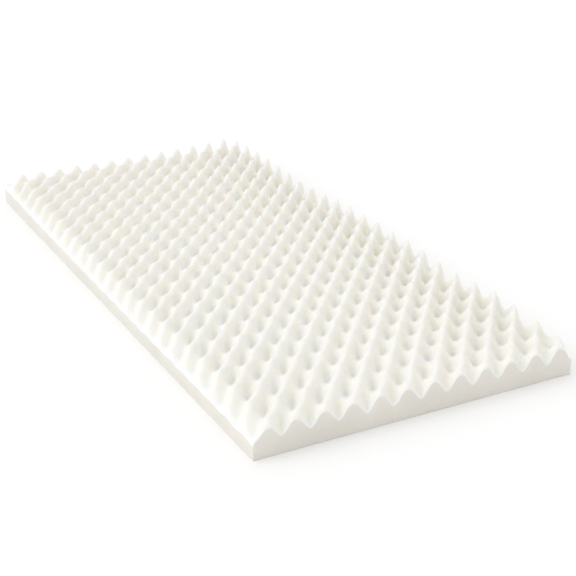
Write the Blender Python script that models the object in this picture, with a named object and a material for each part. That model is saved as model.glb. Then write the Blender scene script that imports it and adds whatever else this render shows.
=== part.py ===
import math

import bmesh
import bpy

# Overall size of the slab, in metres: X across, Y from the front cut to the back cut
WIDTH = 0.838
LENGTH = 1.905

# Height of the foam: its middle height, then two waves, and a third that joins the tops into a net
MEAN_HEIGHT = 0.0640
COLUMN_WAVE = 0.0062
RIDGE_WAVE = 0.0110
NET_WAVE = 0.0030

# Towards the right cut the waves grow deeper, and they stand higher there and at the back
RIGHT_GROWTH = 1.025
RISE = 0.0090
EDGE_POWER = 4
FRONT_FADE = 0.10

# Beside the left cut the waves are calm and the foam drops to a soft shoulder
LEFT_MARGIN = 0.075
LEFT_CALM = 0.85
LEFT_DROP = 0.014

# Columns and rows of peaks, counted from the front left corner, at shares of the length
COLUMN_COUNT = (
    {"share": 0.0, "left": 0.40, "middle": 6.45, "right": 12.50},
    {"share": 1 / 3, "left": 0.32, "middle": 7.35, "right": 14.85},
    {"share": 2 / 3, "left": 0.40, "middle": 7.20, "right": 14.70},
    {"share": 1.0, "left": 0.00, "middle": 6.74, "right": 13.75},
)
ROW_COUNT = (
    {"share": 0.0, "left": 0.82, "middle": 0.90, "right": 0.98},
    {"share": 1 / 3, "left": 8.58, "middle": 9.26, "right": 10.65},
    {"share": 2 / 3, "left": 17.03, "middle": 17.24, "right": 18.33},
    {"share": 1.0, "left": 25.04, "middle": 25.04, "right": 25.10},
)

# The sheet is a grid of points a quarter of a wave apart, which reaches past all four cuts
STEPS_PER_WAVE = 4
SHEET_COLUMNS = (-0.25, 15.25)
SHEET_ROWS = (0.50, 25.50)

# Finding where a count is met: first guess from even spacing, then this many corrections
EVEN_COLUMNS = 13.8
EVEN_ROWS = 24.4
CORRECTIONS = 6
SMALL_STEP = 0.001
FARTHEST_OUTSIDE = 0.3

SAME_POINT = 0.00001

FOAM_COLOUR = (0.87, 0.84, 0.76, 1.0)
FOAM_ROUGHNESS = 0.95


def clear_scene():
    for obj in list(bpy.data.objects):
        bpy.data.objects.remove(obj)


def curve_through(places, values, place):
    """Value at a place of the smooth curve through the given values."""
    total = 0.0
    for i, value in enumerate(values):
        for j, other in enumerate(places):
            if j != i:
                value *= (place - other) / (places[i] - other)
        total += value
    return total


def count_at(table, across, along):
    """How many columns or rows lie before a point, given as shares of the width and length."""
    sides = (0.0, 0.5, 1.0)
    counts = [curve_through(sides, (row["left"], row["middle"], row["right"]), across) for row in table]
    return curve_through([row["share"] for row in table], counts, along)


def place_of(column, row):
    """Shares of the width and length where both counts are met."""
    across = column / EVEN_COLUMNS
    along = (row - ROW_COUNT[0]["left"]) / EVEN_ROWS
    for _ in range(CORRECTIONS):
        columns = count_at(COLUMN_COUNT, across, along)
        rows = count_at(ROW_COUNT, across, along)
        columns_across = (count_at(COLUMN_COUNT, across + SMALL_STEP, along) - columns) / SMALL_STEP
        columns_along = (count_at(COLUMN_COUNT, across, along + SMALL_STEP) - columns) / SMALL_STEP
        rows_across = (count_at(ROW_COUNT, across + SMALL_STEP, along) - rows) / SMALL_STEP
        rows_along = (count_at(ROW_COUNT, across, along + SMALL_STEP) - rows) / SMALL_STEP
        spread = columns_across * rows_along - columns_along * rows_across
        across += ((column - columns) * rows_along - (row - rows) * columns_along) / spread
        along += ((row - rows) * columns_across - (column - columns) * rows_across) / spread
        across = min(max(across, -FARTHEST_OUTSIDE), 1.0 + FARTHEST_OUTSIDE)
        along = min(max(along, -FARTHEST_OUTSIDE), 1.0 + FARTHEST_OUTSIDE)
    return across, along


def relief(column, row, across, along):
    """Height of the foam; whole numbers of column and row are the tallest peaks."""
    column_turn = 2.0 * math.pi * column
    ridge_turn = 2.0 * math.pi * (column - row)
    waves = COLUMN_WAVE * math.cos(column_turn) + RIDGE_WAVE * math.cos(ridge_turn)
    waves -= NET_WAVE * math.cos(column_turn) * math.cos(ridge_turn)
    right = across**EDGE_POWER * min(1.0, along / FRONT_FADE)
    rear = along**EDGE_POWER
    left = min(1.0, max(0.0, 1.0 - across / LEFT_MARGIN)) ** 2
    depth = 1.0 + RIGHT_GROWTH * right - LEFT_CALM * left
    return MEAN_HEIGHT + RISE * (right + rear - right * rear) - LEFT_DROP * left + depth * waves


def foam_sheet(mesh):
    """The waved top as one grid, wider and longer than the slab."""
    columns = SHEET_COLUMNS[1] - SHEET_COLUMNS[0]
    rows = SHEET_ROWS[1] - SHEET_ROWS[0]
    bmesh.ops.create_grid(
        mesh,
        x_segments=round(columns * STEPS_PER_WAVE),
        y_segments=round(rows * STEPS_PER_WAVE),
        size=0.5,
    )
    for vert in mesh.verts:
        column = SHEET_COLUMNS[0] + (vert.co.x + 0.5) * columns
        row = SHEET_ROWS[0] + (vert.co.y + 0.5) * rows
        across, along = place_of(column, row)
        height = relief(column, row, across, along)
        vert.co = ((across - 0.5) * WIDTH, (along - 0.5) * LENGTH, height)


def trim(mesh):
    """The four straight cuts."""
    cuts = (
        ((-WIDTH / 2.0, 0.0, 0.0), (-1.0, 0.0, 0.0)),
        ((WIDTH / 2.0, 0.0, 0.0), (1.0, 0.0, 0.0)),
        ((0.0, -LENGTH / 2.0, 0.0), (0.0, -1.0, 0.0)),
        ((0.0, LENGTH / 2.0, 0.0), (0.0, 1.0, 0.0)),
    )
    for place, outward in cuts:
        bmesh.ops.bisect_plane(
            mesh,
            geom=mesh.verts[:] + mesh.edges[:] + mesh.faces[:],
            dist=SAME_POINT,
            plane_co=place,
            plane_no=outward,
            clear_outer=True,
        )


def close_slab(mesh):
    """Straight sides down to the flat underside, and each square of the top split along the ridges."""
    bmesh.ops.triangulate(mesh, faces=mesh.faces[:], quad_method="FIXED")
    rim = [edge for edge in mesh.edges if edge.is_boundary]
    made = bmesh.ops.extrude_edge_only(mesh, edges=rim)["geom"]
    for vert in made:
        if isinstance(vert, bmesh.types.BMVert):
            vert.co.z = 0.0
    lower = [edge for edge in made if isinstance(edge, bmesh.types.BMEdge) and edge.is_boundary]
    bmesh.ops.contextual_create(mesh, geom=lower)
    bmesh.ops.recalc_face_normals(mesh, faces=mesh.faces)


def foam_material():
    material = bpy.data.materials.new("foam")
    material.use_nodes = True
    shader = material.node_tree.nodes["Principled BSDF"]
    shader.inputs["Base Color"].default_value = FOAM_COLOUR
    shader.inputs["Roughness"].default_value = FOAM_ROUGHNESS
    return material


def build_slab(collection):
    mesh = bmesh.new()
    foam_sheet(mesh)
    trim(mesh)
    close_slab(mesh)
    data = bpy.data.meshes.new("foam_slab")
    mesh.to_mesh(data)
    mesh.free()
    slab = bpy.data.objects.new("foam_slab", data)
    slab.data.materials.append(foam_material())
    collection.objects.link(slab)


clear_scene()
topper = bpy.data.collections.new("mattress_topper")
bpy.context.scene.collection.children.link(topper)
build_slab(topper)
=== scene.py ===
import math

import bmesh
import bpy
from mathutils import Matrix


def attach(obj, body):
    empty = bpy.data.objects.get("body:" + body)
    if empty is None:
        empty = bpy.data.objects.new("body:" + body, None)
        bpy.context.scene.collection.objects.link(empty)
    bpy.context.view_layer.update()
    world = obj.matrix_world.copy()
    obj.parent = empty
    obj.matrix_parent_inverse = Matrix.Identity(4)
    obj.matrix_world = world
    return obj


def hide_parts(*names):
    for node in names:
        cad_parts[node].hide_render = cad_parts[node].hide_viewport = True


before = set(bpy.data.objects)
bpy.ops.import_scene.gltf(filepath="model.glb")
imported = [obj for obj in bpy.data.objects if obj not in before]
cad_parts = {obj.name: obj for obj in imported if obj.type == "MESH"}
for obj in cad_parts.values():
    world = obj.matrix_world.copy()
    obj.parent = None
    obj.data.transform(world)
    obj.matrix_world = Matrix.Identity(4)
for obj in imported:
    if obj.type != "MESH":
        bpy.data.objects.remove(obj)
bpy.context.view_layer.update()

cameraSettings = {
    "place": (-1.3974, -3.0811, 1.3982),  # metres, from the middle of the underside
    "turn": (66.841, 0.953, -27.059),  # degrees
    "lens": 79.93,
    "sensor": 36.0,  # millimetres, as the lens
    "farthest": 100.0,
}


def addCamera(settings):
    data = bpy.data.cameras.new("photoCamera")
    data.lens = settings["lens"]
    data.sensor_width = settings["sensor"]
    data.clip_end = settings["farthest"]
    camera = bpy.data.objects.new("photoCamera", data)
    camera.location = settings["place"]
    camera.rotation_euler = [math.radians(angle) for angle in settings["turn"]]
    bpy.context.scene.collection.objects.link(camera)
    bpy.context.scene.camera = camera


addCamera(cameraSettings)
print("camera set")

lightSettings = {
    "skyColour": (1.0, 1.0, 1.0, 1.0),
    "skyBright": 1.05,
    "skyDim": 0.78,  # the studio is darker on the front right
    "dimSide": (0.42, -0.90, 0.05),
    "dimStart": -0.15,
    "dimFull": 0.75,
    "keyFrom": (-0.85, 0.42, 0.70),  # from behind on the left, well above
    "keyStrength": 0.36,
    "keySoftness": 40.0,  # degrees across
}


def addLights(settings):
    world = bpy.data.worlds.new("studio")
    world.use_nodes = True
    nodes = world.node_tree.nodes
    links = world.node_tree.links
    background = nodes["Background"]
    direction = nodes.new("ShaderNodeTexCoord")
    facing = nodes.new("ShaderNodeVectorMath")
    facing.operation = "DOT_PRODUCT"
    facing.inputs[1].default_value = settings["dimSide"]
    fall = nodes.new("ShaderNodeMapRange")
    fall.interpolation_type = "SMOOTHSTEP"
    fall.inputs["From Min"].default_value = settings["dimStart"]
    fall.inputs["From Max"].default_value = settings["dimFull"]
    fall.inputs["To Min"].default_value = settings["skyBright"]
    fall.inputs["To Max"].default_value = settings["skyDim"]
    links.new(direction.outputs["Generated"], facing.inputs[0])
    links.new(facing.outputs["Value"], fall.inputs["Value"])
    links.new(fall.outputs["Result"], background.inputs["Strength"])
    background.inputs["Color"].default_value = settings["skyColour"]
    bpy.context.scene.world = world
    key = bpy.data.lights.new("key", "SUN")
    key.energy = settings["keyStrength"]
    key.angle = math.radians(settings["keySoftness"])
    lamp = bpy.data.objects.new("key", key)
    x, y, z = settings["keyFrom"]
    lamp.rotation_euler = (math.atan2(math.hypot(x, y), z), 0.0, math.atan2(x, -y))
    lamp.location = (x, y, z)
    bpy.context.scene.collection.objects.link(lamp)
    bpy.context.scene.view_settings.view_transform = "Standard"


floorSettings = {
    "halfSize": 14.0,
    "drop": 0.00005,  # just under the foam
    "colour": (0.99, 0.99, 0.99, 1.0),
    "roughness": 0.9,
}


def addFloor(settings):
    mesh = bmesh.new()
    bmesh.ops.create_grid(mesh, x_segments=2, y_segments=2, size=settings["halfSize"])
    bmesh.ops.translate(mesh, verts=mesh.verts, vec=(0.0, 0.0, -settings["drop"]))
    data = bpy.data.meshes.new("studioFloor")
    mesh.to_mesh(data)
    mesh.free()
    floor = bpy.data.objects.new("studioFloor", data)
    bpy.context.scene.collection.objects.link(floor)
    paint = bpy.data.materials.new("palePaper")
    paint.use_nodes = True
    shader = paint.node_tree.nodes["Principled BSDF"]
    shader.inputs["Base Color"].default_value = settings["colour"]
    shader.inputs["Roughness"].default_value = settings["roughness"]
    shader.inputs["Specular IOR Level"].default_value = 0.0
    data.materials.append(paint)


addLights(lightSettings)
addFloor(floorSettings)
print("studio ready")

foamSettings = {
    "width": 0.838,
    "length": 1.905,
    "meanHeight": 0.0640,
    "columnWave": 0.0062,
    "ridgeWave": 0.0110,
    "netWave": 0.0030,  # joins the tops into a net, with narrow hollows between
    "rightGrowth": 1.025,  # deeper waves towards the right cut
    "rise": 0.0090,  # and a little higher towards the right and back cuts
    "edgePower": 4,  # how late both of these set in
    "frontFade": 0.10,  # share of the length over which they fade at the front cut
    "leftMargin": 0.075,  # share of the width
    "leftCalm": 0.85,  # calmer waves beside the left cut
    "leftDrop": 0.014,  # and a soft shoulder
    "stepsAcross": 186,
    "stepsAlong": 423,
    "softLeft": 0.012,  # radius that the left cut's upper edge is rounded to
    "softRest": 0.004,  # and that of the other three
    "upwardFrom": 0.05,  # faces whose normal rises more than this are the waved top
}

# columns and rows of peaks counted from the front left corner, at shares of the length
columnCount = (
    {"share": 0.0, "left": 0.40, "middle": 6.45, "right": 12.50},
    {"share": 1 / 3, "left": 0.32, "middle": 7.35, "right": 14.85},
    {"share": 2 / 3, "left": 0.40, "middle": 7.20, "right": 14.70},
    {"share": 1.0, "left": 0.00, "middle": 6.74, "right": 13.75},
)
rowCount = (
    {"share": 0.0, "left": 0.82, "middle": 0.90, "right": 0.98},
    {"share": 1 / 3, "left": 8.58, "middle": 9.26, "right": 10.65},
    {"share": 2 / 3, "left": 17.03, "middle": 17.24, "right": 18.33},
    {"share": 1.0, "left": 25.04, "middle": 25.04, "right": 25.10},
)


# value at a place of the smooth curve through a few given ones
def curveThrough(places, values, place):
    total = 0.0
    for i, value in enumerate(values):
        for j, other in enumerate(places):
            if j != i:
                value *= (place - other) / (places[i] - other)
        total += value
    return total


# columns or rows before a point, given as shares of the width and length
def countAt(table, across, along):
    sides = (0.0, 0.5, 1.0)
    counts = [curveThrough(sides, (row["left"], row["middle"], row["right"]), across) for row in table]
    return curveThrough([row["share"] for row in table], counts, along)


def foamHeight(across, along, settings):
    column = 2 * math.pi * countAt(columnCount, across, along)
    ridge = column - 2 * math.pi * countAt(rowCount, across, along)
    right = across ** settings["edgePower"] * min(1.0, along / settings["frontFade"])
    rear = along ** settings["edgePower"]
    left = max(0.0, 1 - across / settings["leftMargin"]) ** 2
    waves = settings["columnWave"] * math.cos(column) + settings["ridgeWave"] * math.cos(ridge)
    waves -= settings["netWave"] * math.cos(column) * math.cos(ridge)
    depth = 1 + settings["rightGrowth"] * right - settings["leftCalm"] * left
    level = settings["meanHeight"] + settings["rise"] * (right + rear - right * rear) - settings["leftDrop"] * left
    return level + depth * waves


# how far a point sinks in an edge rounded to a radius, at a distance inward from the cut
def softEdge(inward, radius):
    gap = max(0.0, radius - inward)
    return radius - math.sqrt(radius**2 - gap**2)


def buildFoam(settings):
    width, length = settings["width"], settings["length"]
    mesh = bmesh.new()
    bmesh.ops.create_grid(mesh, x_segments=settings["stepsAcross"], y_segments=settings["stepsAlong"], size=0.5)
    for vert in mesh.verts:
        across, along = vert.co.x + 0.5, vert.co.y + 0.5
        height = foamHeight(across, along, settings)
        height -= softEdge(across * width, settings["softLeft"])
        height -= softEdge(min((1 - across) * width, along * length, (1 - along) * length), settings["softRest"])
        vert.co = ((across - 0.5) * width, (along - 0.5) * length, height)
    rim = [edge for edge in mesh.edges if edge.is_boundary]
    made = bmesh.ops.extrude_edge_only(mesh, edges=rim)["geom"]
    for part in made:
        if isinstance(part, bmesh.types.BMVert):
            part.co.z = 0.0
    lower = [part for part in made if isinstance(part, bmesh.types.BMEdge) and part.is_boundary]
    bmesh.ops.contextual_create(mesh, geom=lower)
    bmesh.ops.recalc_face_normals(mesh, faces=mesh.faces)
    for face in mesh.faces:
        face.smooth = face.normal.z > settings["upwardFrom"]
        face.material_index = 0 if face.smooth else 1
    data = bpy.data.meshes.new("convolutedFoam")
    mesh.to_mesh(data)
    mesh.free()
    foam = bpy.data.objects.new("convolutedFoam", data)
    bpy.context.scene.collection.objects.link(foam)
    return foam


# colour of the waved top with painted light by height: lighter deep in the hollows, darker on the tops
waveFinishAndPaintedLight = {
    "lowPaintedLight": (0.99, 0.97, 0.915, 1.0),  # painted light: deep in the hollows the colour is lighter, standing in for light bouncing into them and lifting their shade
    "highPaintedLight": (0.885, 0.862, 0.805, 1.0),
    "lowAt": 0.040,
    "highAt": 0.085,
    "cloudScale": 18.0,
    "cloudShare": 0.03,  # how much darker the clouds are
    "cellScale": 820.0,
    "cellDepth": 0.0005,
    "cellPaintedShade": 0.03,  # how much painted shade darkens the open cells towards their middles
    "roughness": 0.95,
    "glow": 1.0,
    "glowReach": (0.040, 0.036, 0.028),  # metres under the surface
}

# colour of the cut faces with painted shade by height: darker down by the floor, lighter towards the upper edge
cutFinishAndPaintedShade = {
    "lowPaintedLight": (0.875, 0.845, 0.775, 1.0),
    "highPaintedLight": (0.93, 0.90, 0.84, 1.0),
    "lowAt": 0.0,
    "highAt": 0.085,
    "cloudScale": 9.0,
    "cloudShare": 0.06,
    "cellScale": 640.0,
    "cellDepth": 0.0008,
    "cellPaintedShade": 0.10,
    "roughness": 1.0,
    "glow": 0.3,
    "glowReach": (0.012, 0.010, 0.007),
}


foamGrain = {
    "cloudDetail": 4.0,
    "cloudFrom": 0.3,
    "cloudTo": 0.7,
    "cellWall": 0.7,
    "gloss": 0.1,
}


def foamMaterial(name, settings, grain):
    material = bpy.data.materials.new(name)
    material.use_nodes = True
    nodes = material.node_tree.nodes
    links = material.node_tree.links
    shader = nodes["Principled BSDF"]
    place = nodes.new("ShaderNodeTexCoord")
    split = nodes.new("ShaderNodeSeparateXYZ")
    # painted light and shade by height: the colour moves from the low colour to the high one as the surface rises
    rise = nodes.new("ShaderNodeMapRange")
    rise.interpolation_type = "SMOOTHSTEP"
    rise.inputs["From Min"].default_value = settings["lowAt"]
    rise.inputs["From Max"].default_value = settings["highAt"]
    links.new(place.outputs["Object"], split.inputs["Vector"])
    links.new(split.outputs["Z"], rise.inputs["Value"])
    heightPaintedLight = nodes.new("ShaderNodeMix")
    heightPaintedLight.data_type = "RGBA"
    heightPaintedLight.inputs["A"].default_value = settings["lowPaintedLight"]
    heightPaintedLight.inputs["B"].default_value = settings["highPaintedLight"]
    links.new(rise.outputs["Result"], heightPaintedLight.inputs["Factor"])

    cloud = nodes.new("ShaderNodeTexNoise")
    cloud.inputs["Scale"].default_value = settings["cloudScale"]
    cloud.inputs["Detail"].default_value = grain["cloudDetail"]
    cell = nodes.new("ShaderNodeTexVoronoi")
    cell.inputs["Scale"].default_value = settings["cellScale"]
    links.new(place.outputs["Object"], cloud.inputs["Vector"])
    links.new(place.outputs["Object"], cell.inputs["Vector"])
    cloudTone = nodes.new("ShaderNodeMapRange")
    cloudTone.inputs["From Min"].default_value = grain["cloudFrom"]
    cloudTone.inputs["From Max"].default_value = grain["cloudTo"]
    cloudTone.inputs["To Min"].default_value = 1.0 - settings["cloudShare"]
    # painted shade in the open cells: darker towards each cell's middle, where the bump dips
    cellPaintedShade = nodes.new("ShaderNodeMapRange")
    cellPaintedShade.inputs["From Max"].default_value = grain["cellWall"]
    cellPaintedShade.inputs["To Min"].default_value = 1.0 - settings["cellPaintedShade"]
    links.new(cloud.outputs["Fac"], cloudTone.inputs["Value"])
    links.new(cell.outputs["Distance"], cellPaintedShade.inputs["Value"])
    # random cloud tone times the painted shade of the cells
    grainAndPaintedShade = nodes.new("ShaderNodeMath")
    grainAndPaintedShade.operation = "MULTIPLY"
    links.new(cloudTone.outputs["Result"], grainAndPaintedShade.inputs[0])
    links.new(cellPaintedShade.outputs["Result"], grainAndPaintedShade.inputs[1])
    shaded = nodes.new("ShaderNodeVectorMath")
    shaded.operation = "SCALE"
    links.new(heightPaintedLight.outputs["Result"], shaded.inputs[0])
    links.new(grainAndPaintedShade.outputs["Value"], shaded.inputs["Scale"])
    links.new(shaded.outputs["Vector"], shader.inputs["Base Color"])

    bump = nodes.new("ShaderNodeBump")
    bump.inputs["Distance"].default_value = settings["cellDepth"]
    links.new(cell.outputs["Distance"], bump.inputs["Height"])
    links.new(bump.outputs["Normal"], shader.inputs["Normal"])
    shader.inputs["Roughness"].default_value = settings["roughness"]
    shader.inputs["Specular IOR Level"].default_value = grain["gloss"]
    shader.inputs["Subsurface Weight"].default_value = settings["glow"]
    shader.inputs["Subsurface Radius"].default_value = settings["glowReach"]
    shader.inputs["Subsurface Scale"].default_value = 1.0
    return material


foam = buildFoam(foamSettings)
foam.data.materials.append(foamMaterial("creamFoam", waveFinishAndPaintedLight, foamGrain))
foam.data.materials.append(foamMaterial("cutFoam", cutFinishAndPaintedShade, foamGrain))
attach(foam, "root")
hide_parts("foam_slab")
print("foam ready,", len(foam.data.polygons), "faces")
